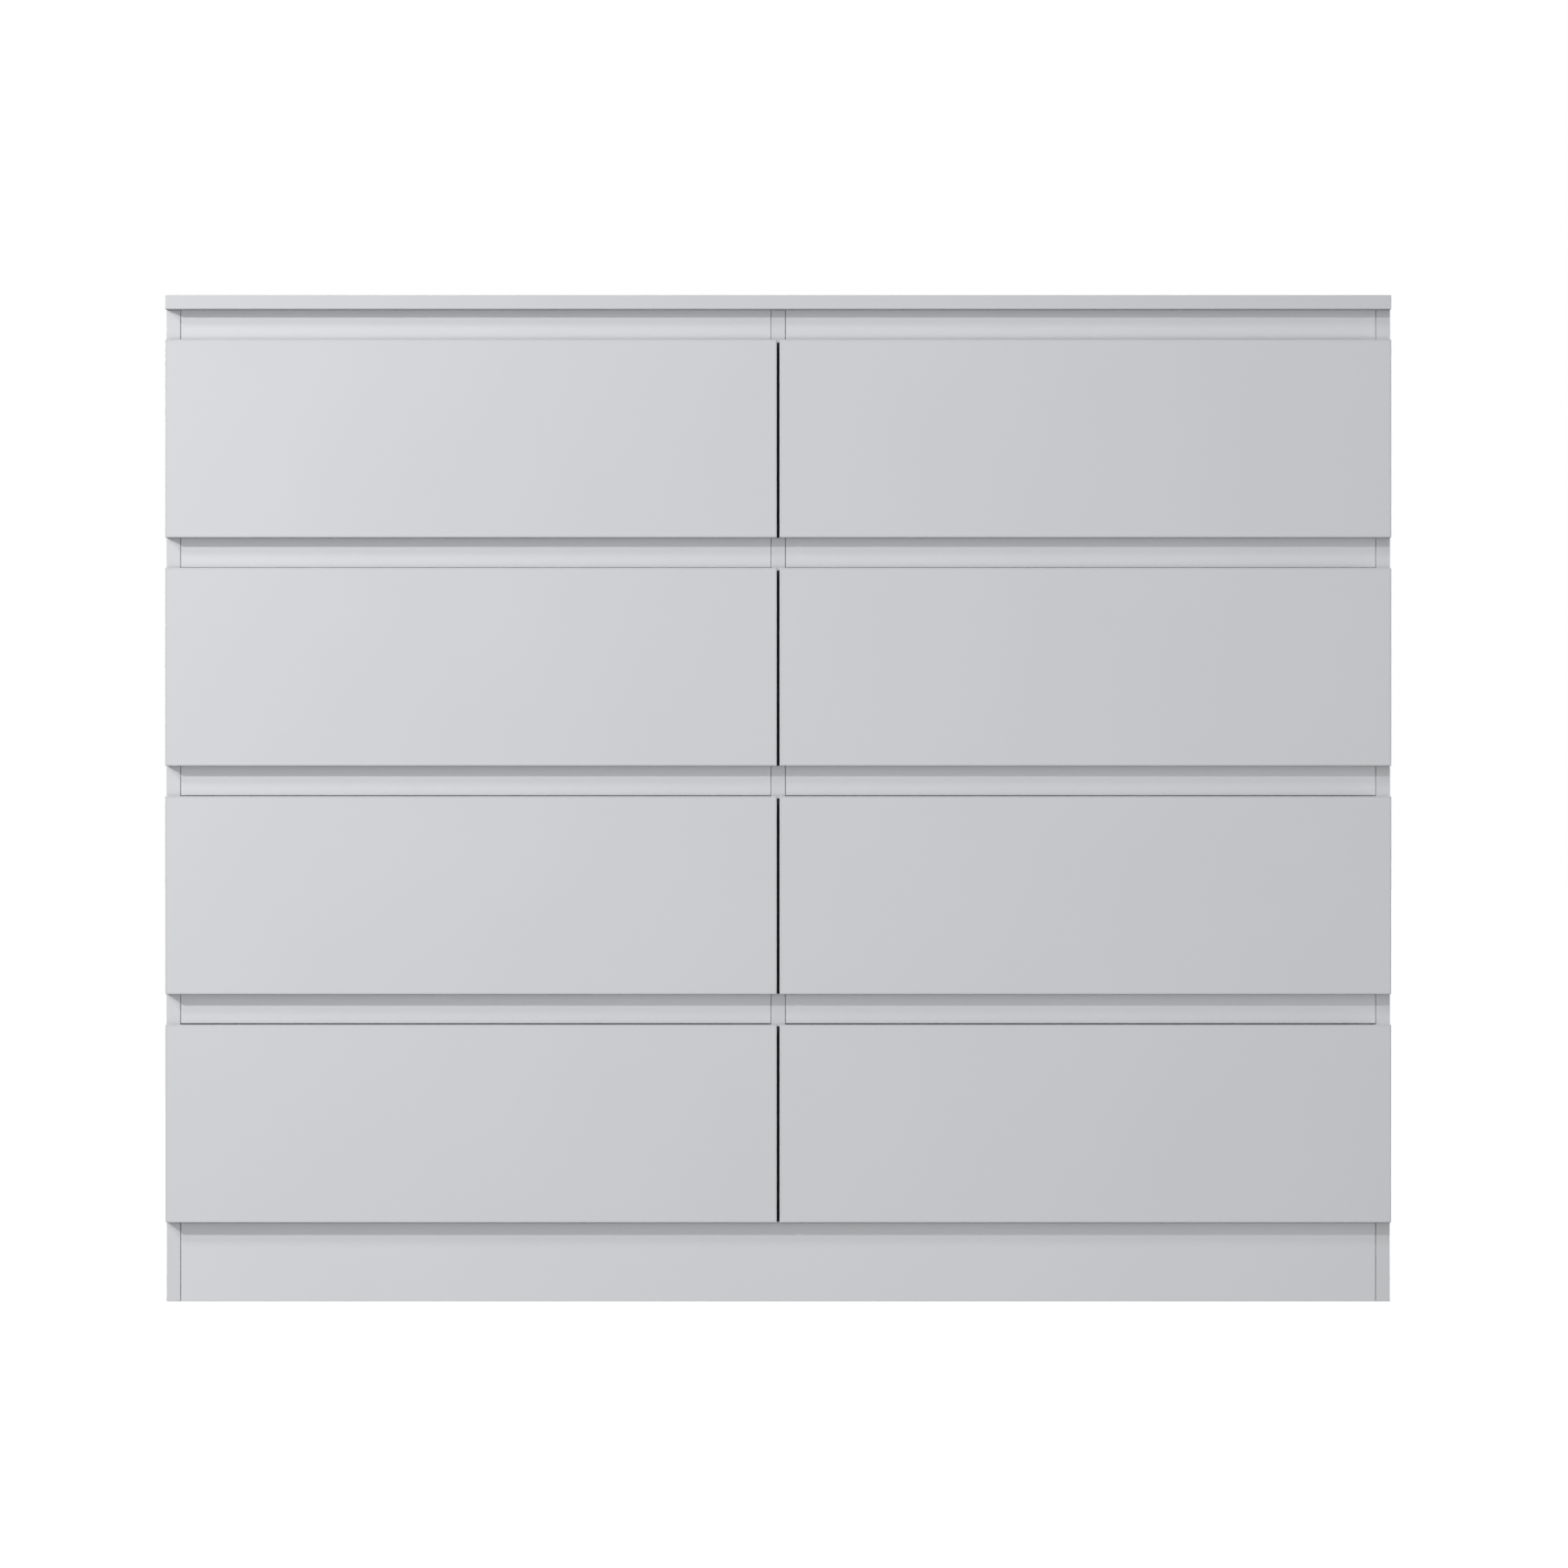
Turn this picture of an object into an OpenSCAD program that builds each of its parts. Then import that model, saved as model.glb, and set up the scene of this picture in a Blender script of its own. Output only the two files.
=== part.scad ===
// Wide chest with two columns of four drawers.
// The faces of the drawer fronts look towards -Y, +X is to the right and +Z is up.
// The origin is on the floor, at the middle of the width and of the depth. Millimetres.

/* [Carcass] */
// Overall width
width = 1380; // [1200:20:1600]
// Overall depth, from the faces of the drawer fronts to the heads of the back's nails
depth = 480; // [480:10:600]
// Thickness of every board
board = 16; // [15:1:18]
// Height of the lowest drawer fronts above the floor
plinth_h = 90; // [70:5:120]
// Thickness of the fibreboard in the back and in the drawer bottoms
sheet = 3; // [2.5:0.5:3]

/* [Fronts] */
// Height of one drawer front
front_h = 223; // [210:1:260]
// Height of the grip gap above each drawer front
grip_gap = 34; // [30:1:45]
// Gap between the two columns of drawer fronts
column_gap = 3; // [2:0.5:6]
// Size of the finger bevel behind the top edge of each front
bevel = 10; // [6:1:12]

/* [Drawers] */
// Height of the drawer sides
box_h = 150; // [110:5:160]
// Length of the full-extension runners
runner_len = 450; // [350:50:450]

/* [Hidden] */
$fn = 32;
over = 1;

rows = 4;
SIDES = ["left", "right"];

// Carcass planes
half_w = width / 2;
pitch = front_h + grip_gap;
height = plinth_h + rows * pitch + board;
top_z = height - board;
nail_head_h = 0.8;
face_y = -depth / 2;
front_air = 1;
front_rear_y = face_y + board;
frame_y = front_rear_y + front_air;
rear_y = depth / 2 - nail_head_h - sheet;
wall_in = board / 2;
wall_out = half_w - board;

// Cross rails, plinth and bottom panel
rail_end_gap = 0.5;
rail_slot = 0.8;
rail_h = 60;
bottom_z = plinth_h + 2;
rear_plinth_inset = 30;

// Back sheets
sheet_edge = 2;
sheet_joint = 1;
nail_r = 0.7;
nail_len = 20;
nail_head_r = 2.2;
nails_up = 7;
nails_across = 4;
nail_edge = 4;

// Drawer boxes, hung between the runners
runner_gap = 13;
box_lift = 34;
box_in = wall_in + runner_gap;
box_out = wall_out - runner_gap;
box_rear_y = frame_y + 2 + runner_len;
slot_lift = 12;
slot_h = sheet + 0.2;
slot_depth = 8;
slot_air = 0.5;

// Runners: the wall, middle and drawer members nest inside each other
runner_lift = 45;
steel = 1.2;
runner_y = frame_y + 2;
wall_member = [0, 9.6, 22.5];
middle_member = [3, 10.8, 17];
drawer_member = [runner_gap, 5.6, 11.5];
middle_short = 6;

// Cam fittings
cam_r = 7.4;
cam_bore_r = 7.5;
cam_h = 12.4;
cam_inset = 34;
cam_y = 160;
cam_slot = [8, 1.6, 2];

// Wall brackets, between the top panel and the back
bracket_w = 40;
bracket_leg = 28;
bracket_t = 2;
anchor_r = 2.75;
anchor_drop = 16;
bracket_x = (wall_in + wall_out) / 2;

CARCASS = [
    "side_panel_left",
    "side_panel_right",
    "top_panel",
    "centre_divider",
    "bottom_panel",
    "plinth_boards",
    "cross_rails",
    "back_panels",
    "back_nails",
    "cam_fittings",
    "wall_runners",
    "wall_brackets"
];
DRAWER = [
    "drawer_front",
    "drawer_sides",
    "drawer_back",
    "drawer_bottom",
    "drawer_runners",
    "middle_runners"
];
function tag(row, side) = str("_", row, "_", side);

// Row 1 is at the top
function front_z(row) = plinth_h + (rows - row) * pitch;
function box_z(row) = front_z(row) + box_lift;
function rail_low(row) = front_z(row) + front_h + rail_slot;
function rail_high(row) = min(rail_low(row) + rail_h, top_z);

// Helpers -------------------------------------------------------------------------------------

// A block between two opposite corners
module block(low, high) {
    translate(low) cube(high - low);
}

// What is drawn for the right-hand column, put in either column
module column(side) {
    if (side == "left") {
        mirror([1, 0, 0]) children();
    } else {
        children();
    }
}

// What is drawn against a wall at x = 0, put on both walls of the right-hand bay
module both_walls() {
    translate([wall_in, 0, 0]) children();
    translate([wall_out, 0, 0]) mirror([1, 0, 0]) children();
}

// A rolled steel channel along +Y: member = [x of its web's outer face, x of its flange tips, half height]
module channel(member, length) {
    web = member[0];
    tip = member[1];
    half_h = member[2];
    out = sign(tip - web);
    difference() {
        block([min(web, tip), 0, -half_h], [max(web, tip), length, half_h]);
        block(
            [min(web + out * steel, tip + out * over), -over, steel - half_h],
            [max(web + out * steel, tip + out * over), length + over, half_h - steel]
        );
    }
}

// Cam fittings --------------------------------------------------------------------------------
// Each place has its z axis pointing out of the board's face

module rail_cam_places() {
    for (row = [1:rows], side = SIDES) {
        column(side)
        for (x = [wall_in + rail_end_gap + cam_inset, wall_out - rail_end_gap - cam_inset]) {
            translate([x, frame_y + board, (rail_low(row) + rail_high(row)) / 2])
            rotate([-90, 0, 0]) children();
        }
    }
}

module side_cam_places() {
    for (y = [-cam_y, cam_y]) {
        translate([wall_out, y, top_z - cam_inset]) rotate([0, -90, 0]) children();
    }
}

module divider_cam_places() {
    for (y = [-cam_y, cam_y]) {
        translate([wall_in, y, top_z - cam_inset]) rotate([0, 90, 0]) children();
    }
}

module bottom_cam_places() {
    for (side = SIDES, y = [-cam_y, cam_y]) {
        column(side) translate([wall_out - cam_inset, y, bottom_z]) rotate([180, 0, 0]) children();
    }
}

module cam_bore() {
    translate([0, 0, -cam_h]) cylinder(h = cam_h + over, r = cam_bore_r);
}

module cam() {
    difference() {
        translate([0, 0, -cam_h]) cylinder(h = cam_h, r = cam_r);
        for (turn = [0, 90]) {
            rotate([0, 0, turn]) cube(cam_slot, center = true);
        }
    }
}

module cam_fittings() {
    color("silver") {
        rail_cam_places() cam();
        for (side = SIDES) {
            column(side) side_cam_places() cam();
        }
        divider_cam_places() cam();
        bottom_cam_places() cam();
    }
}

// Carcass -------------------------------------------------------------------------------------

module side_panel(side) {
    color("gainsboro") column(side)
    difference() {
        block([wall_out, frame_y, 0], [half_w, rear_y, top_z]);
        side_cam_places() cam_bore();
    }
}

module top_panel() {
    color("gainsboro") block([-half_w, face_y, top_z], [half_w, rear_y, height]);
}

module centre_divider() {
    color("gainsboro")
    difference() {
        block([-wall_in, frame_y, bottom_z + board], [wall_in, rear_y, top_z]);
        divider_cam_places() cam_bore();
    }
}

module bottom_panel() {
    color("gainsboro")
    difference() {
        block([-wall_out, frame_y, bottom_z], [wall_out, rear_y, bottom_z + board]);
        bottom_cam_places() cam_bore();
    }
}

module plinth_boards() {
    color("gainsboro")
    for (y = [frame_y, rear_y - rear_plinth_inset - board]) {
        block([rail_end_gap - wall_out, y, 0], [wall_out - rail_end_gap, y + board, bottom_z]);
    }
}

module cross_rails() {
    color("gainsboro")
    difference() {
        for (row = [1:rows], side = SIDES) {
            column(side)
            block(
                [wall_in + rail_end_gap, frame_y, rail_low(row)],
                [wall_out - rail_end_gap, frame_y + board, rail_high(row)]
            );
        }
        rail_cam_places() cam_bore();
    }
}

module back_panels() {
    color("peru")
    for (side = SIDES) {
        column(side)
        difference() {
            block([sheet_joint / 2, rear_y, bottom_z], [half_w - sheet_edge, rear_y + sheet, height - sheet_edge]);
            translate([bracket_x, rear_y - over, top_z - anchor_drop])
            rotate([-90, 0, 0]) cylinder(h = sheet + 2 * over, r = anchor_r);
        }
    }
}

// A nail driven in along -Y, its head lying on the back
module nail() {
    rotate([90, 0, 0]) {
        cylinder(h = nail_len, r = nail_r);
        translate([0, 0, -nail_head_h]) cylinder(h = nail_head_h, r = nail_head_r);
    }
}

module back_nails() {
    low = bottom_z + board / 2;
    high = top_z + board / 2;
    left = nail_edge;
    right = half_w - board / 2;
    color("silver")
    for (side = SIDES) {
        column(side) translate([0, rear_y + sheet, 0]) {
            for (x = [left, right], k = [0:nails_up]) {
                translate([x, 0, low + (high - low) * k / nails_up]) nail();
            }
            for (z = [low, high], k = [1:nails_across]) {
                translate([left + (right - left) * k / (nails_across + 1), 0, z]) nail();
            }
        }
    }
}

module wall_brackets() {
    color("silver")
    for (side = SIDES) {
        column(side) translate([bracket_x - bracket_w / 2, 0, 0])
        difference() {
            union() {
                block([0, rear_y - bracket_t, top_z - bracket_leg], [bracket_w, rear_y, top_z]);
                block([0, rear_y - bracket_leg, top_z - bracket_t], [bracket_w, rear_y, top_z]);
            }
            translate([bracket_w / 2, rear_y - bracket_t - over, top_z - anchor_drop])
            rotate([-90, 0, 0]) cylinder(h = bracket_t + 2 * over, r = anchor_r);
        }
    }
}

module wall_runners() {
    color("silver")
    for (row = [1:rows], side = SIDES) {
        column(side) translate([0, runner_y, box_z(row) + runner_lift])
        both_walls() channel(wall_member, runner_len);
    }
}

// Drawers -------------------------------------------------------------------------------------

// The slot that the drawer bottom slides into, cut in the sides and in the front
module bottom_slot(row) {
    z = box_z(row) + slot_lift;
    block(
        [box_in + board - slot_depth, front_rear_y - slot_depth, z],
        [box_out - board + slot_depth, box_rear_y + over, z + slot_h]
    );
}

module drawer_front(row, side) {
    color("gainsboro") column(side)
    difference() {
        translate([column_gap / 2, 0, front_z(row)])
        rotate([90, 0, 90])
        linear_extrude(half_w - column_gap / 2)
        polygon([
            [face_y, 0],
            [front_rear_y, 0],
            [front_rear_y, front_h - bevel],
            [front_rear_y - bevel, front_h],
            [face_y, front_h]
        ]);
        bottom_slot(row);
    }
}

module drawer_sides(row, side) {
    color("whitesmoke") column(side)
    difference() {
        for (x = [box_in, box_out - board]) {
            block([x, front_rear_y, box_z(row)], [x + board, box_rear_y, box_z(row) + box_h]);
        }
        bottom_slot(row);
    }
}

module drawer_back(row, side) {
    color("whitesmoke") column(side)
    block(
        [box_in + board, box_rear_y - board, box_z(row) + slot_lift + slot_h],
        [box_out - board, box_rear_y, box_z(row) + box_h]
    );
}

module drawer_bottom(row, side) {
    reach = slot_depth - slot_air;
    z = box_z(row) + slot_lift + (slot_h - sheet) / 2;
    color("wheat") column(side)
    block(
        [box_in + board - reach, front_rear_y - reach, z],
        [box_out - board + reach, box_rear_y, z + sheet]
    );
}

module drawer_runners(row, side) {
    color("silver") column(side)
    translate([0, runner_y, box_z(row) + runner_lift])
    both_walls() channel(drawer_member, runner_len);
}

module middle_runners(row, side) {
    color("silver") column(side)
    translate([0, runner_y + middle_short, box_z(row) + runner_lift])
    both_walls() channel(middle_member, runner_len - 2 * middle_short);
}

// ---------------------------------------------------------------------------------------------

side_panel("left");  // side_panel_left
side_panel("right");  // side_panel_right
top_panel();
centre_divider();
bottom_panel();
plinth_boards();
cross_rails();
back_panels();
back_nails();
cam_fittings();
wall_runners();
wall_brackets();

for (row = [1:rows], side = SIDES) {
    drawer_front(row, side);
    drawer_sides(row, side);
    drawer_back(row, side);
    drawer_bottom(row, side);
    drawer_runners(row, side);
    middle_runners(row, side);
}
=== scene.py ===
"""Looks of the dresser: rounded board edges, materials, the small fittings that the frame leaves out, lights
and camera.

Everything is in metres, in the frame's own axes: the fronts face -Y, +X is to the right and +Z is up.
"""
import math

import bmesh
import bpy
from mathutils import Matrix, Vector


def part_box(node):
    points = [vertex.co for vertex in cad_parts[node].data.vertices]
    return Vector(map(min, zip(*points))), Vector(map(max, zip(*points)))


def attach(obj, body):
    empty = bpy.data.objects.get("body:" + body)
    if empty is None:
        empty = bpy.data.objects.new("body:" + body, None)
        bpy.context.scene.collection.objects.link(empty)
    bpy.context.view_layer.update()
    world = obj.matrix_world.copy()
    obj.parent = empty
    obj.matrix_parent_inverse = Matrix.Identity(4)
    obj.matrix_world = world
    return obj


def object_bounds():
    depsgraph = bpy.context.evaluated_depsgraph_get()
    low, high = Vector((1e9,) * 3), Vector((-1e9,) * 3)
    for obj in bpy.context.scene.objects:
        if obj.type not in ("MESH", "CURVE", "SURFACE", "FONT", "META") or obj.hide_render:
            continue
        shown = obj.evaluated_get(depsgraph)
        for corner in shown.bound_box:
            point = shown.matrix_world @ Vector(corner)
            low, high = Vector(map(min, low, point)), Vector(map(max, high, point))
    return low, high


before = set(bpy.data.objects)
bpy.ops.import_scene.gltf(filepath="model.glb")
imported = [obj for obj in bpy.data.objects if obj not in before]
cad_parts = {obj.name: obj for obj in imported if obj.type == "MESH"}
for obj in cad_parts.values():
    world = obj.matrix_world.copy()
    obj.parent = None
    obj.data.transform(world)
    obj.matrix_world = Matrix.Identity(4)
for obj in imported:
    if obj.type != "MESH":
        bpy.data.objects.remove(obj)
cad_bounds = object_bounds()

MM = 0.001
X, Y, Z = 0, 1, 2
ROWS = (1, 2, 3, 4)
SIDES = ("left", "right")
DRAWERS = [f"_{row}_{side}" for row in ROWS for side in SIDES]

# Linear colours
BOARD_GREY = (0.600, 0.607, 0.622)
# Lighter than BOARD_GREY, for the recessed cross rails and plinth boards: painted bounce light, so that they
# read lighter than the fronts
RAIL_GREY_PAINTED_BOUNCE = (0.626, 0.633, 0.649)
BAND_GREY = (0.575, 0.582, 0.598)
FOIL_WHITE = (0.74, 0.74, 0.725)
SEAM_GREY = (0.20, 0.20, 0.21)
CHIP_DARK = (0.20, 0.115, 0.055)
CHIP_LIGHT = (0.55, 0.40, 0.24)
FIBRE_DARK = (0.115, 0.066, 0.036)
FIBRE_LIGHT = (0.225, 0.142, 0.082)
FIBRE_PALE = (0.36, 0.25, 0.155)
ZINC = (0.47, 0.485, 0.50)
ZINC_WARM = (0.46, 0.458, 0.44)
CAST_ZINC = (0.30, 0.30, 0.31)
BLACK_PLASTIC = (0.018, 0.018, 0.019)
CAP_PLASTIC = (0.68, 0.68, 0.66)
# Black of the strips that paint the shade in the gap between the columns
PAINTED_SHADE_BLACK = (0.022, 0.022, 0.023)

# Lowest and highest roughness of the boards' faces, of the matter top panel, and of what is cut
BOARD_ROUGH = (0.44, 0.54)
TOP_ROUGH = (0.58, 0.68)
CUT_ROUGH = 0.85

# Noise nodes give few values outside these
NOISE_LOW = 0.3
NOISE_HIGH = 0.7

EDGE_RADIUS = 0.9 * MM
METAL_EDGE_RADIUS = 0.25 * MM
SHEET_EDGE_RADIUS = 0.2 * MM
NAIL_EDGE_RADIUS = 0.15 * MM
BAND_WIDTH = 1.0 * MM
SEAM_WIDTH = 0.16 * MM
LACQUER_DEPTH = 0.1 * MM
CHIP_DEPTH = 0.12 * MM
# A point this near to a board's outermost plane lies on that face
SKIN = 0.3 * MM
# Noise features along a fibre, as a share of those across it
FIBRE_STRETCH = 0.16
WELD_GAP = 0.005 * MM
FLAT_ANGLE = math.radians(1)
BEVEL_ANGLE = math.radians(30)
SHARP_ANGLE = math.radians(35)
# Corners round a turned piece
TURNS = 32

# Fittings, in millimetres. Outlines are (radius, height above the board or steel) pairs.
CROSS = (1.75, 0.42)
CROSS_FOOT = (1.3, 0.3)
PAN_SCREW = [(0, 0), (3.4, 0), (3.4, 0.45), (3.1, 1), (2.3, 1.35), (CROSS, 1.4), (CROSS_FOOT, 0.5), (0, 0.4)]
FLAT_SCREW = [(0, 0), (3.9, 0), (3.75, 0.16), (2.4, 0.2), (CROSS, 0.18), (CROSS_FOOT, -0.9), (0, -1.0)]
CAM_CAP = [(0, 0), (8.5, 0), (8.5, 0.3), (8.25, 0.62), (7.4, 0.86), (4.0, 0.98), (0, 1.0)]
PAD = [(0, 0), (4.0, 0), (4.0, 0.45), (3.5, 0.65), (2.0, 0.7), (0, 0.7)]
LEVER_PIVOT = [(0, -0.6), (3.6, -0.6), (3.6, 0.3), (3.2, 0.7), (0, 0.7)]
# How far along a runner its screws are
RUNNER_SCREWS_AT = (37, 133, 290, 386)
# How high above the drawer sides' lower edges the back's screws and the covers of the cam fittings are
BACK_SCREWS_AT = (96, 132)
CAM_CAPS_AT = (40, 112)
# How far the covers are behind the front, and how high above its lower edge the buffers are
CAM_CAP_INSET = 34
PADS_AT = (22, 192)
# The release lever: its place along the runner, and how far its foot and its face stand off the runner's web
LEVER_AT = 191
LEVER_FOOT = 0.1
LEVER_FACE = 2.6
# Its parts: start, end, half height, and how far the part's face stands off
LEVER_PARTS = ((0, 46, 2.2, LEVER_FACE), (40, 62, 4.6, LEVER_FACE), (56, 62, 4.6, 4.6))
LEVER_PIVOT_AT = 8
LEVER_ROUNDING = 0.6
BALL_RADIUS = 1.95
BALL_PITCH = 17.5
# Each cage: start and length along the runner, distances of its web and of its flanges' tips from the wall,
# half height, and the balls' distance from the wall
CAGES = ((220, 216, 1.85, 8.8, 19.45, 6.3), (8, 218, 4.65, 11.0, 13.95, 8.2))
CAGE_STEEL = 0.55
CAGE_ROUNDING = 0.12
# Strips of painted shade behind the gap between the columns: width, thickness, and how far the strips stay
# from the lower and the upper edges of the fronts
GAP_SHADE_STRIP = (6.0, 0.7, 0.3, 2.5)
GAP_SHADE_ROUNDING = 0.25
# Distances from the wall to the drawer member's web and to the drawer's side
RUNNER_WEB_AT = 11.8
RUNNER_GAP = 13
# The wall brackets' width and steel
BRACKET_WIDTH = 40
BRACKET_STEEL = 2


# Materials ------------------------------------------------------------------------------------

class Shader:
    """A material with one Principled shader, and short ways to add the nodes that drive it."""

    def __init__(self, name, **constants):
        self.material = bpy.data.materials.new(name)
        self.material.use_nodes = True
        self.tree = self.material.node_tree
        self.principled = self.tree.nodes["Principled BSDF"]
        self.place = self.tree.nodes.new("ShaderNodeTexCoord").outputs["Object"]
        self.axes = self.add("ShaderNodeSeparateXYZ", Vector=self.place).outputs
        for socket, value in constants.items():
            self.set(socket.replace("_", " "), value)

    def add(self, kind, settings=None, **inputs):
        node = self.tree.nodes.new(kind)
        for key, value in (settings or {}).items():
            setattr(node, key, value)
        for key, value in inputs.items():
            self.join(node.inputs[key.replace("_", " ")], value)
        return node

    def join(self, socket, value):
        if isinstance(value, bpy.types.NodeSocket):
            self.tree.links.new(value, socket)
        elif socket.type == "RGBA" and len(value) == 3:
            socket.default_value = (*value, 1)
        else:
            socket.default_value = value

    def set(self, socket, value):
        self.join(self.principled.inputs[socket], value)

    def math(self, operation, *values):
        node = self.add("ShaderNodeMath", {"operation": operation})
        for socket, value in zip(node.inputs, values):
            self.join(socket, value)
        return node.outputs["Value"]

    def noise(self, scale, detail=2.0, roughness=0.5, stretch=(1, 1, 1)):
        """Noise from 0 to 1 with scale features per metre, drawn out where stretch is below 1."""
        place = self.add("ShaderNodeMapping", Vector=self.place, Scale=stretch).outputs["Vector"]
        return self.add("ShaderNodeTexNoise", Vector=place, Scale=scale, Detail=detail,
                        Roughness=roughness).outputs["Fac"]

    def even(self, noise, to_low=0.0, to_high=1.0):
        """Carries a noise's usual range to to_low..to_high, and clamps."""
        return self.spread(noise, NOISE_LOW, NOISE_HIGH, to_low, to_high)

    def spread(self, value, low, high, to_low=0.0, to_high=1.0):
        """Carries low..high to to_low..to_high, and clamps."""
        return self.add("ShaderNodeMapRange", None, Value=value, From_Min=low, From_Max=high,
                        To_Min=to_low, To_Max=to_high).outputs["Result"]

    def mix(self, share, first, second):
        node = self.add("ShaderNodeMix", {"data_type": "RGBA"})
        for socket, value in ((node.inputs[0], share), (node.inputs[6], first), (node.inputs[7], second)):
            self.join(socket, value)
        return node.outputs[2]

    def tone(self, colour, amount, low=1.0, high=1.0):
        """colour made darker or lighter, from low to high times itself, as amount goes from 0 to 1."""
        return self.mix(amount, tuple(c * low for c in colour), tuple(c * high for c in colour))

    def bump(self, *layers):
        """Stacks (height, depth in metres) layers on the surface."""
        normal = None
        for height, depth in layers:
            node = self.add("ShaderNodeBump", None, Height=height, Distance=depth, Strength=1.0)
            if normal is not None:
                self.join(node.inputs["Normal"], normal)
            normal = node.outputs["Normal"]
        self.set("Normal", normal)


def edge_seam(shader, low, high):
    """(joint, band): 1 along the joint between a board's face and its edge band, and 1 on the band."""
    size = high - low
    thin = min((X, Y, Z), key=lambda axis: size[axis])
    gaps = []
    for axis in (X, Y, Z):
        from_low = shader.math("SUBTRACT", shader.axes[axis], low[axis])
        from_high = shader.math("SUBTRACT", high[axis], shader.axes[axis])
        gaps.append(shader.math("MINIMUM", from_low, from_high))
    on_face = shader.math("LESS_THAN", gaps[thin], SKIN)
    inwards = shader.math("MINIMUM", *(gap for axis, gap in enumerate(gaps) if axis != thin))
    joint_at = BAND_WIDTH + EDGE_RADIUS / 2
    off_joint = shader.math("ABSOLUTE", shader.math("SUBTRACT", inwards, joint_at))
    line = shader.spread(off_joint, SEAM_WIDTH / 4, SEAM_WIDTH, 1.0, 0.0)
    band = shader.math("LESS_THAN", inwards, joint_at)
    return shader.math("MULTIPLY", line, on_face), band


def chipboard(shader):
    """(colour, height) of a cut particleboard edge."""
    place = shader.add("ShaderNodeMapping", Vector=shader.place, Scale=(0.55, 0.55, 1.0)).outputs["Vector"]
    chips = shader.add("ShaderNodeTexVoronoi", {"feature": "F1"}, Vector=place, Scale=620.0, Randomness=1.0)
    shade = shader.add("ShaderNodeSeparateColor", Color=chips.outputs["Color"]).outputs["Red"]
    grain = shader.noise(scale=1500, detail=3.0, roughness=0.6)
    colour = shader.mix(shader.math("MULTIPLY", shade, grain), CHIP_DARK, CHIP_LIGHT)
    return colour, shader.math("ADD", chips.outputs["Distance"], grain)


def board_material(name, face, low=None, high=None, raw=(), rough=BOARD_ROUGH):
    """Melamine-faced board. raw lists the faces (axis, 1 or -1) that were cut and left without a band."""
    shader = Shader(name, IOR=1.5, Specular_IOR_Level=0.42)
    cloud = shader.noise(scale=5, detail=2.0)
    pearl = shader.noise(scale=640, detail=3.0, roughness=0.55)
    speck = shader.noise(scale=1700, detail=2.0, roughness=0.5)
    colour = shader.tone(face, shader.even(cloud), 0.992, 1.006)
    dark_face = tuple(c * 0.72 for c in face)
    colour = shader.mix(shader.spread(speck, 0.62, 0.78, 0.0, 0.10), colour, dark_face)
    rough = shader.even(pearl, *rough)
    height = shader.math("ADD", pearl, shader.math("MULTIPLY", speck, 0.35))
    layers = [(height, 0.02 * MM)]
    if low is not None:
        seam, band = edge_seam(shader, low, high)
        colour = shader.mix(shader.math("MULTIPLY", band, 0.35), colour, BAND_GREY)
        colour = shader.mix(shader.math("MULTIPLY", seam, 0.55), colour, SEAM_GREY)
        layers.append((seam, -0.05 * MM))
    for axis, sign in raw:
        chips, chip_height = chipboard(shader)
        edge = high[axis] if sign > 0 else low[axis]
        past = shader.math("SUBTRACT", shader.axes[axis], edge - sign * SKIN)
        cut = shader.math("GREATER_THAN", shader.math("MULTIPLY", past, float(sign)), 0.0)
        colour = shader.mix(cut, colour, chips)
        rough = shader.math("MAXIMUM", rough, shader.math("MULTIPLY", cut, CUT_ROUGH))
        layers.append((shader.math("MULTIPLY", chip_height, cut), CHIP_DEPTH))
    shader.set("Base Color", colour)
    shader.set("Roughness", rough)
    shader.bump(*layers)
    return shader.material


def foil_material(name, low, high):
    """Off-white foil on the drawer boxes, with cut particleboard on their rear ends and undersides."""
    shader = Shader(name, IOR=1.5, Specular_IOR_Level=0.45)
    weave = shader.noise(scale=420, detail=2.0, roughness=0.5, stretch=(1.0, 0.08, 1.0))
    speck = shader.noise(scale=1400, detail=2.0)
    colour = shader.tone(FOIL_WHITE, shader.spread(weave, 0.35, 0.65), 0.985, 1.0)
    chips, chip_height = chipboard(shader)
    below = shader.math("LESS_THAN", shader.axes[Z], low.z + SKIN)
    behind = shader.math("GREATER_THAN", shader.axes[Y], high.y - SKIN)
    cut = shader.math("MAXIMUM", below, behind)
    shader.set("Base Color", shader.mix(cut, colour, chips))
    cut_rough = shader.math("MULTIPLY", cut, CUT_ROUGH)
    shader.set("Roughness", shader.math("MAXIMUM", shader.even(speck, 0.38, 0.46), cut_rough))
    shader.bump((weave, 0.012 * MM), (shader.math("MULTIPLY", chip_height, cut), CHIP_DEPTH))
    return shader.material


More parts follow.
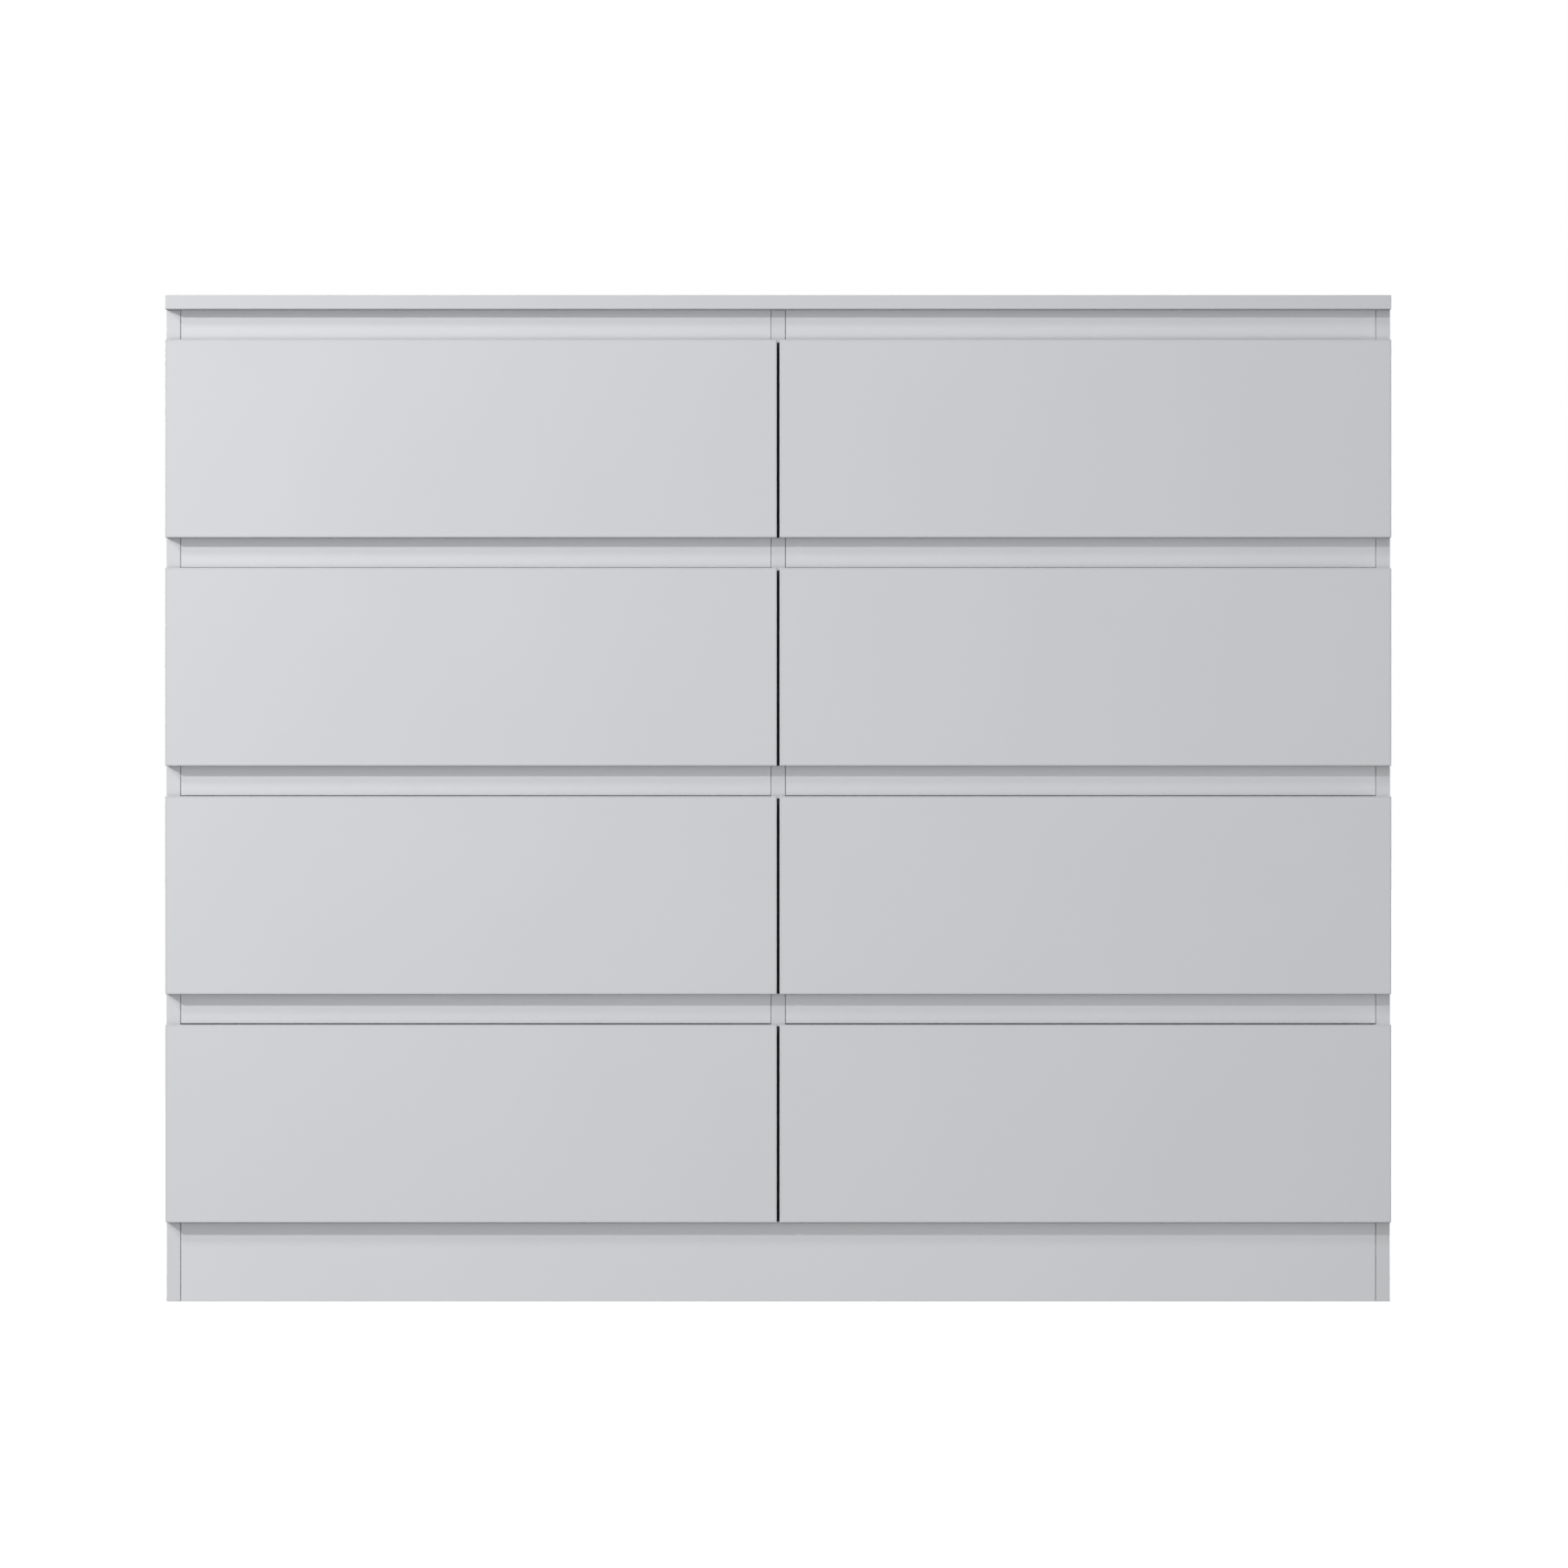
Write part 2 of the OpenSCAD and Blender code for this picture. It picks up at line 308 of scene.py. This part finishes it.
def hardboard_material(name, axis, level, sign):
    """Brown hardboard across Y or Z, lacquered off-white past level, on the side that sign points to."""
    shader = Shader(name, IOR=1.5, Specular_IOR_Level=0.35)
    lengthwise, crosswise = [1.0, 1.0, 1.0], [1.0, 1.0, 1.0]
    lengthwise[X] = FIBRE_STRETCH
    crosswise[Y + Z - axis] = FIBRE_STRETCH
    grain = shader.noise(scale=2300, detail=3.0, roughness=0.6)
    along = shader.noise(scale=1500, detail=2.0, roughness=0.5, stretch=lengthwise)
    across = shader.noise(scale=1300, detail=2.0, roughness=0.5, stretch=crosswise)
    fibres = shader.math("MAXIMUM", along, across)
    tufts = shader.noise(scale=420, detail=5.0, roughness=0.65)
    cloud = shader.noise(scale=6, detail=4.0, roughness=0.55)
    brown = shader.mix(shader.even(grain), FIBRE_DARK, FIBRE_LIGHT)
    brown = shader.mix(shader.spread(fibres, 0.56, 0.74, 0.0, 0.55), brown, FIBRE_PALE)
    brown = shader.mix(shader.spread(tufts, 0.5, 0.72, 0.0, 0.22), brown, FIBRE_DARK)
    brown = shader.mix(shader.spread(cloud, 0.4, 0.7, 0.0, 0.22), brown, FIBRE_DARK)
    lacquer = shader.tone(FOIL_WHITE, tufts, 0.965, 0.99)
    past = shader.math("MULTIPLY", shader.math("SUBTRACT", shader.axes[axis], level), float(sign))
    painted = shader.math("GREATER_THAN", past, 0.0)
    shader.set("Base Color", shader.mix(painted, brown, lacquer))
    shader.set("Roughness", shader.spread(painted, 0.0, 1.0, 0.66, 0.4))
    raw = shader.spread(painted, 0.0, 1.0, 1.0, 0.25)
    shader.bump((shader.math("MULTIPLY", shader.math("ADD", fibres, grain), raw), 0.05 * MM))
    return shader.material


def zinc_material(name, rough_low, rough_high):
    """Steel with bright zinc plating: fine lines along Y, as it was rolled, and a faint warm cloud."""
    shader = Shader(name, Metallic=1.0)
    lines = shader.noise(scale=2600, detail=2.0, roughness=0.6, stretch=(1.0, 0.03, 1.0))
    cloud = shader.noise(scale=30, detail=3.0, roughness=0.55)
    colour = shader.mix(shader.spread(cloud, 0.42, 0.72), ZINC, ZINC_WARM)
    shader.set("Base Color", colour)
    both = shader.math("ADD", lines, cloud)
    shader.set("Roughness", shader.spread(both, 0.7, 1.3, rough_low, rough_high))
    shader.bump((lines, 0.006 * MM))
    return shader.material


def cast_material():
    """Die-cast zinc, left as it came from the mould."""
    shader = Shader("cast_zinc", Metallic=1.0)
    skin = shader.noise(scale=900, detail=4.0, roughness=0.6)
    shader.set("Base Color", shader.tone(CAST_ZINC, shader.even(skin), 0.85, 1.1))
    shader.set("Roughness", shader.even(skin, 0.42, 0.6))
    shader.bump((skin, 0.05 * MM))
    return shader.material


def plastic_material(name, colour, rough):
    """Moulded plastic with a fine spark-eroded texture."""
    shader = Shader(name, IOR=1.46, Specular_IOR_Level=0.5)
    skin = shader.noise(scale=1900, detail=2.0, roughness=0.55)
    cloud = shader.noise(scale=60, detail=2.0)
    shader.set("Base Color", shader.tone(colour, shader.even(cloud), 0.96, 1.04))
    shader.set("Roughness", shader.even(skin, rough - 0.04, rough + 0.05))
    shader.bump((skin, 0.015 * MM))
    return shader.material


def gap_shade_material():
    """Black needle-felt look for the strips of painted shade behind the gap between the columns."""
    shader = Shader("felt", IOR=1.3, Specular_IOR_Level=0.1)
    fibres = shader.noise(scale=1500, detail=5.0, roughness=0.7, stretch=(1.0, 1.0, 0.5))
    shader.set("Base Color", shader.tone(PAINTED_SHADE_BLACK, fibres, 0.5, 1.5))
    shader.set("Roughness", shader.even(fibres, 0.88, 1.0))
    shader.bump((fibres, 0.2 * MM))
    return shader.material


def wear(node, material):
    """Gives a CAD node its material."""
    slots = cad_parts[node].data.materials
    slots.clear()
    slots.append(material)


def soften(node, radius, segments=2):
    """Rounds a CAD node's sharp edges without touching its own mesh."""
    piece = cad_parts[node]
    weld = piece.modifiers.new("join_faces", "WELD")
    weld.merge_threshold = WELD_GAP
    flatten = piece.modifiers.new("join_triangles", "DECIMATE")
    flatten.decimate_type = "DISSOLVE"
    flatten.angle_limit = FLAT_ANGLE
    bevel = piece.modifiers.new("round_edges", "BEVEL")
    bevel.width = radius
    bevel.segments = segments
    bevel.limit_method = "ANGLE"
    bevel.angle_limit = BEVEL_ANGLE
    bevel.loop_slide = False
    bevel.harden_normals = True


# Mesh building --------------------------------------------------------------------------------

class Solid:
    """One piece, gathered from small closed bodies. Lengths are in millimetres."""

    def __init__(self):
        self.mesh = bmesh.new()

    def lathe(self, spot, out, outline):
        """Turns an outline round the axis that leaves spot along out.

        A pair in place of a radius is a cross's reach and half width.
        """
        place = Matrix.Translation(spot) @ Vector(out).to_track_quat("Z", "Y").to_matrix().to_4x4()
        rings = []
        for radius, height in outline:
            count = TURNS if radius else 1
            ring = []
            for k in range(count):
                angle = 2 * math.pi * k / TURNS
                reach = cross_radius(*radius, angle) if isinstance(radius, tuple) else radius
                point = Vector((reach * math.cos(angle), reach * math.sin(angle), height))
                ring.append(self.mesh.verts.new(place @ point))
            rings.append(ring)
        for low, high in zip(rings, rings[1:]):
            for k in range(TURNS):
                after = (k + 1) % TURNS
                corners = [
                    low[k % len(low)],
                    low[after % len(low)],
                    high[after % len(high)],
                    high[k % len(high)],
                ]
                self.mesh.faces.new(dict.fromkeys(corners))

    def block(self, low, high, rounding=0.0, segments=2):
        """A box between two corners, with its edges rounded."""
        low, high = Vector(low), Vector(high)
        place = Matrix.Translation((low + high) / 2) @ Matrix.Diagonal((high - low).to_4d())
        place[3][3] = 1
        made = bmesh.ops.create_cube(self.mesh, size=1, matrix=place)["verts"]
        if rounding:
            edges = {edge for vert in made for edge in vert.link_edges}
            bmesh.ops.bevel(
                self.mesh, geom=list(edges), offset=rounding, segments=segments, profile=0.5, affect="EDGES"
            )

    def ball(self, spot, radius):
        place = Matrix.Translation(spot)
        bmesh.ops.create_icosphere(self.mesh, subdivisions=2, radius=radius, matrix=place)

    def piece(self, name, body, slot, material, mirrored=False):
        """Makes the object, on the other side of the middle where mirrored, and rides it on body."""
        scale = Matrix.Diagonal((-MM if mirrored else MM, MM, MM, 1))
        self.mesh.transform(scale)
        bmesh.ops.recalc_face_normals(self.mesh, faces=self.mesh.faces[:])
        data = bpy.data.meshes.new(name)
        for face in self.mesh.faces:
            face.smooth = True
        self.mesh.to_mesh(data)
        self.mesh.free()
        data.set_sharp_from_angle(angle=SHARP_ANGLE)
        data.materials.append(material)
        made = bpy.data.objects.new(name, data)
        bpy.context.scene.collection.objects.link(made)
        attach(made, body)


def cross_radius(reach, half_width, angle):
    """Distance from the middle of a cross to its outline, at that angle."""
    along, across = abs(math.cos(angle)), abs(math.sin(angle))
    tiny = 1e-6
    arms = ((along, across), (across, along))
    return max(min(reach / max(a, tiny), half_width / max(b, tiny)) for a, b in arms)


# Camera ---------------------------------------------------------------------------------------

# In front of the drawer fronts' faces, and how wide the frame is at their plane
CAMERA_DISTANCE = 7.7
CAMERA_AT = Vector((6.5 * MM, cad_bounds[0][Y] - CAMERA_DISTANCE, 583.7 * MM))
FRAME_WIDTH = 1.7644
SENSOR = 36.0
CLIP_END = 60


def make_camera():
    data = bpy.data.cameras.new("camera")
    data.sensor_width = SENSOR
    data.lens = SENSOR * CAMERA_DISTANCE / FRAME_WIDTH
    data.clip_end = CLIP_END
    camera = bpy.data.objects.new("camera", data)
    camera.location = CAMERA_AT
    camera.rotation_euler = (math.radians(90), 0, 0)
    bpy.context.scene.collection.objects.link(camera)
    bpy.context.scene.camera = camera


# CAD nodes ------------------------------------------------------------------------------------

def dress_carcass(runner, steel):
    rear, underside = (Y, 1), (Z, -1)
    for node, raw, rough in (
        ("side_panel_left", [rear, underside], BOARD_ROUGH),
        ("side_panel_right", [rear, underside], BOARD_ROUGH),
        ("top_panel", [rear], TOP_ROUGH),
        ("centre_divider", [rear], BOARD_ROUGH),
        ("bottom_panel", [rear], BOARD_ROUGH),
    ):
        low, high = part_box(node)
        wear(node, board_material("board_" + node, BOARD_GREY, low, high, raw, rough))
        soften(node, EDGE_RADIUS)
    # The cross rails and plinth boards get the lighter grey, which is painted bounce light
    rail_board_painted_bounce = board_material("board_rails_painted_bounce", RAIL_GREY_PAINTED_BOUNCE)
    for node in ("plinth_boards", "cross_rails"):
        wear(node, rail_board_painted_bounce)
        soften(node, EDGE_RADIUS / 2)
    lacquer_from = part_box("back_panels")[0].y + LACQUER_DEPTH
    wear("back_panels", hardboard_material("back_hardboard", Y, lacquer_from, -1))
    soften("back_panels", SHEET_EDGE_RADIUS, 1)
    wear("back_nails", steel)
    soften("back_nails", NAIL_EDGE_RADIUS, 1)
    wear("wall_brackets", steel)
    soften("wall_brackets", METAL_EDGE_RADIUS)
    wear("wall_runners", runner)
    soften("wall_runners", METAL_EDGE_RADIUS)
    wear("cam_fittings", cast_material())
    soften("cam_fittings", METAL_EDGE_RADIUS, 1)


def dress_drawers(runner):
    for drawer in DRAWERS:
        low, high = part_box("drawer_front" + drawer)
        wear("drawer_front" + drawer, board_material("front_board" + drawer, BOARD_GREY, low, high))
        soften("drawer_front" + drawer, EDGE_RADIUS)
        low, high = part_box("drawer_sides" + drawer)
        foil = foil_material("foil" + drawer, low, high)
        for part in ("drawer_sides", "drawer_back"):
            wear(part + drawer, foil)
            soften(part + drawer, EDGE_RADIUS)
        lacquer_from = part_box("drawer_bottom" + drawer)[1].z - LACQUER_DEPTH
        wear("drawer_bottom" + drawer, hardboard_material("bottom_hardboard" + drawer, Z, lacquer_from, 1))
        soften("drawer_bottom" + drawer, SHEET_EDGE_RADIUS, 1)
        for part in ("drawer_runners", "middle_runners"):
            wear(part + drawer, runner)
            soften(part + drawer, METAL_EDGE_RADIUS)


# Fittings -------------------------------------------------------------------------------------

def mm_box(node):
    """A CAD node's lowest and highest corners in millimetres."""
    low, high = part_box(node)
    return low / MM, high / MM


def walls():
    """x of the right-hand bay's walls, the divider and the side panel, each with the direction out of it."""
    divider = mm_box("centre_divider")[1].x
    side = mm_box("side_panel_right")[0].x
    return ((divider, 1), (side, -1))


def drawer_screws(drawer, material):
    """The screws of the drawer's runners and those that hold its back."""
    side_low = mm_box("drawer_sides" + drawer)[0]
    runner_low, runner_high = mm_box("drawer_runners" + drawer)
    back_low, back_high = mm_box("drawer_back" + drawer)
    middle = (runner_low.z + runner_high.z) / 2
    screws = Solid()
    for wall, out in walls():
        for along in RUNNER_SCREWS_AT:
            spot = (wall + out * RUNNER_WEB_AT, runner_low.y + along, middle)
            screws.lathe(spot, (-out, 0, 0), PAN_SCREW)
        for up in BACK_SCREWS_AT:
            spot = (wall + out * RUNNER_GAP, (back_low.y + back_high.y) / 2, side_low.z + up)
            screws.lathe(spot, (-out, 0, 0), FLAT_SCREW)
    mirrored = drawer.endswith("left")
    screws.piece("drawer_screws" + drawer, "drawer" + drawer, "steel_fittings", material, mirrored)


def drawer_caps(drawer, material):
    """The covers of the cam fittings inside the drawer, and the buffers behind its front."""
    side_low = mm_box("drawer_sides" + drawer)[0]
    back_low, back_high = mm_box("drawer_back" + drawer)
    front_low, front_high = mm_box("drawer_front" + drawer)
    board = back_high.y - back_low.y
    covers = Solid()
    for wall, out in walls():
        inner = wall + out * (RUNNER_GAP + board)
        for up in CAM_CAPS_AT:
            spot = (inner, front_high.y + CAM_CAP_INSET, side_low.z + up)
            covers.lathe(spot, (out, 0, 0), CAM_CAP)
    panel_low, panel_high = mm_box("side_panel_right")
    for up in PADS_AT:
        spot = ((panel_low.x + panel_high.x) / 2, front_high.y, front_low.z + up)
        covers.lathe(spot, (0, 1, 0), PAD)
    mirrored = drawer.endswith("left")
    covers.piece("drawer_caps" + drawer, "drawer" + drawer, "cap_plastic", material, mirrored)


def runner_levers(drawer, material):
    """The levers that release the drawer from its runners."""
    low, high = mm_box("drawer_runners" + drawer)
    middle = (low.z + high.z) / 2
    start = low.y + LEVER_AT
    levers = Solid()
    for wall, out in walls():
        web = wall + out * RUNNER_WEB_AT
        foot = web - out * LEVER_FOOT
        for first, last, half, stand_off in LEVER_PARTS:
            face = web - out * stand_off
            corner = (min(foot, face), start + first, middle - half)
            far_corner = (max(foot, face), start + last, middle + half)
            levers.block(corner, far_corner, LEVER_ROUNDING)
        spot = (web - out * LEVER_FACE, start + LEVER_PIVOT_AT, middle)
        levers.lathe(spot, (-out, 0, 0), LEVER_PIVOT)
    mirrored = drawer.endswith("left")
    levers.piece("runner_levers" + drawer, "drawer" + drawer, "lever_plastic", material, mirrored)


def ball_cages(drawer, material):
    """The ball rows of both runners and the strips that space the balls."""
    start = mm_box("wall_runners")[0].y
    low, high = mm_box("middle_runners" + drawer)
    middle = (low.z + high.z) / 2
    cages = Solid()
    for wall, out in walls():
        for offset, length, web, tip, half, ball_at in CAGES:
            first = start + offset
            flange = half - CAGE_STEEL
            for near, far, bottom, top in (
                (web, web + CAGE_STEEL, -half, half),
                (web, tip, flange, half),
                (web, tip, -half, -flange),
            ):
                x_low, x_high = sorted((wall + out * near, wall + out * far))
                corner = (x_low, first, middle + bottom)
                cages.block(corner, (x_high, first + length, middle + top), CAGE_ROUNDING, 1)
            balls = int(length / BALL_PITCH)
            for k in range(balls):
                y = first + (k + 0.5) * length / balls
                for up in (half - CAGE_STEEL / 2, CAGE_STEEL / 2 - half):
                    cages.ball((wall + out * ball_at, y, middle + up), BALL_RADIUS)
    mirrored = drawer.endswith("left")
    cages.piece("ball_cages" + drawer, "slider" + drawer, "runner_steel", material, mirrored)


def painted_gap_shade(material):
    """Dark strips on the divider's front edge, behind the gap between the columns: painted shade, a black
    sheet put where the gap is only in shade.
    """
    width, thickness, above, below = GAP_SHADE_STRIP
    edge = mm_box("centre_divider")[0].y
    strips = Solid()
    for row in ROWS:
        low, high = mm_box(f"drawer_front_{row}_right")
        corner = (-width / 2, edge - thickness, low.z + above)
        strips.block(corner, (width / 2, edge, high.z - below), GAP_SHADE_ROUNDING)
    strips.piece("painted_gap_shade", "carcass", "felt", material)


def bracket_screws(material):
    """Two screws up into the top panel in each wall bracket."""
    low, high = mm_box("wall_brackets")
    screws = Solid()
    for x in (low.x + BRACKET_WIDTH / 2, high.x - BRACKET_WIDTH / 2):
        for side in (-1, 1):
            spot = (x + side * BRACKET_WIDTH / 4, (low.y + high.y) / 2, high.z - BRACKET_STEEL)
            screws.lathe(spot, (0, 0, -1), PAN_SCREW)
    screws.piece("bracket_screws", "carcass", "steel_fittings", material)


# Lights and floor -----------------------------------------------------------------------------

# Soft light from all round, and more of it from in front: its radiance there, and the power by which it fades
AMBIENT = 0.099
FRONT_GLOW = 1.54
FRONT_GLOW_FADE = 6.0
LOW_STRIP = {"shape": "RECTANGLE", "size": 3.6, "size_y": 0.6}
# Name, kind, place, what it shines at, watts, settings
LIGHTS = (
    ("key", "POINT", (-3.7, -2.84, 2.45), (0, 0, 0.55), 470, {"shadow_soft_size": 0.12}),
    ("high_key", "POINT", (-3.4, -2.6, 3.6), (0, 0, 0.55), 237, {"shadow_soft_size": 0.35}),
    ("low_front", "AREA", (0, -3.2, 0.35), (0, 0, 0.35), 13.3, LOW_STRIP),
    ("overhead", "AREA", (0.3, 1.5, 3.2), (0, 0.1, 1.0), 46, {"shape": "DISK", "size": 2.0}),
    ("rear_right", "AREA", (3.2, 1.0, 1.9), (0.69, 0, 0.55), 100, {"shape": "DISK", "size": 1.8}),
    ("rear_left", "AREA", (-2.0, 3.4, 1.6), (0, 0.2, 0.5), 80, {"shape": "DISK", "size": 1.8}),
)


def make_world():
    world = bpy.data.worlds.new("studio")
    world.use_nodes = True
    tree = world.node_tree

    def math_node(operation, *values):
        node = tree.nodes.new("ShaderNodeMath")
        node.operation = operation
        for socket, value in zip(node.inputs, values):
            if isinstance(value, bpy.types.NodeSocket):
                tree.links.new(value, socket)
            else:
                socket.default_value = value
        return node.outputs["Value"]

    shown = tree.nodes["Background"]
    shown.inputs["Color"].default_value = (1, 1, 1, 1)
    direction = tree.nodes.new("ShaderNodeTexCoord").outputs["Generated"]
    towards = tree.nodes.new("ShaderNodeVectorMath")
    towards.operation = "DOT_PRODUCT"
    towards.inputs[1].default_value = (0, -1, 0)
    tree.links.new(direction, towards.inputs[0])
    glow = math_node("POWER", math_node("MAXIMUM", towards.outputs["Value"], 0.0), FRONT_GLOW_FADE)
    strength = math_node("MULTIPLY_ADD", glow, FRONT_GLOW, AMBIENT)
    light = tree.nodes.new("ShaderNodeBackground")
    light.inputs["Color"].default_value = (1, 1, 1.01, 1)
    tree.links.new(strength, light.inputs["Strength"])
    path = tree.nodes.new("ShaderNodeLightPath")
    mix = tree.nodes.new("ShaderNodeMixShader")
    tree.links.new(path.outputs["Is Camera Ray"], mix.inputs[0])
    tree.links.new(light.outputs[0], mix.inputs[1])
    tree.links.new(shown.outputs[0], mix.inputs[2])
    tree.links.new(mix.outputs[0], tree.nodes["World Output"].inputs["Surface"])
    bpy.context.scene.world = world


def make_lights():
    for name, kind, place, target, watts, settings in LIGHTS:
        data = bpy.data.lights.new(name, kind)
        data.energy = watts
        for key, value in settings.items():
            setattr(data, key, value)
        light = bpy.data.objects.new(name, data)
        light.location = place
        light.rotation_euler = (Vector(target) - Vector(place)).to_track_quat("-Z", "Y").to_euler()
        bpy.context.scene.collection.objects.link(light)


# The floor glows, so that it stays as pale as the studio round it, and less so close to the dresser: the
# glow's strength, and the distances from the dresser's middle between which it rises
FLOOR_GLOW = (0.72, 1.0)
FLOOR_GLOW_REACH = (0.8, 2.6)
FLOOR_HALF = 30.0


def make_floor():
    mesh = bpy.data.meshes.new("floor")
    corners = [(x * FLOOR_HALF, y * FLOOR_HALF, 0) for x, y in ((-1, -1), (1, -1), (1, 1), (-1, 1))]
    mesh.from_pydata(corners, [], [(0, 1, 2, 3)])
    floor = bpy.data.objects.new("floor", mesh)
    bpy.context.scene.collection.objects.link(floor)
    shader = Shader("floor_paint", Roughness=0.9, Emission_Color=(1, 1, 1))
    cloud = shader.noise(scale=2.0)
    shader.set("Base Color", shader.tone((0.9, 0.9, 0.9), cloud, 0.99, 1.0))
    length = shader.add("ShaderNodeVectorMath", {"operation": "LENGTH"}, Vector=shader.place)
    away = length.outputs["Value"]
    shader.set("Emission Strength", shader.spread(away, *FLOOR_GLOW_REACH, *FLOOR_GLOW))
    mesh.materials.append(shader.material)
    floor.visible_diffuse = False
    floor.visible_glossy = False


bpy.context.scene.view_settings.view_transform = "Standard"
make_camera()
rolled_zinc = zinc_material("zinc_rolled", 0.34, 0.5)
pressed_zinc = zinc_material("zinc_pressed", 0.32, 0.48)
cap_white = plastic_material("cap_plastic", CAP_PLASTIC, 0.42)
lever_black = plastic_material("lever_plastic", BLACK_PLASTIC, 0.4)
dress_carcass(rolled_zinc, pressed_zinc)
dress_drawers(rolled_zinc)
for drawer_name in DRAWERS:
    drawer_screws(drawer_name, pressed_zinc)
    drawer_caps(drawer_name, cap_white)
    runner_levers(drawer_name, lever_black)
    ball_cages(drawer_name, rolled_zinc)
# Black strips that paint the shade in the gap between the columns
painted_gap_shade(gap_shade_material())
bracket_screws(pressed_zinc)
make_world()
make_lights()
make_floor()
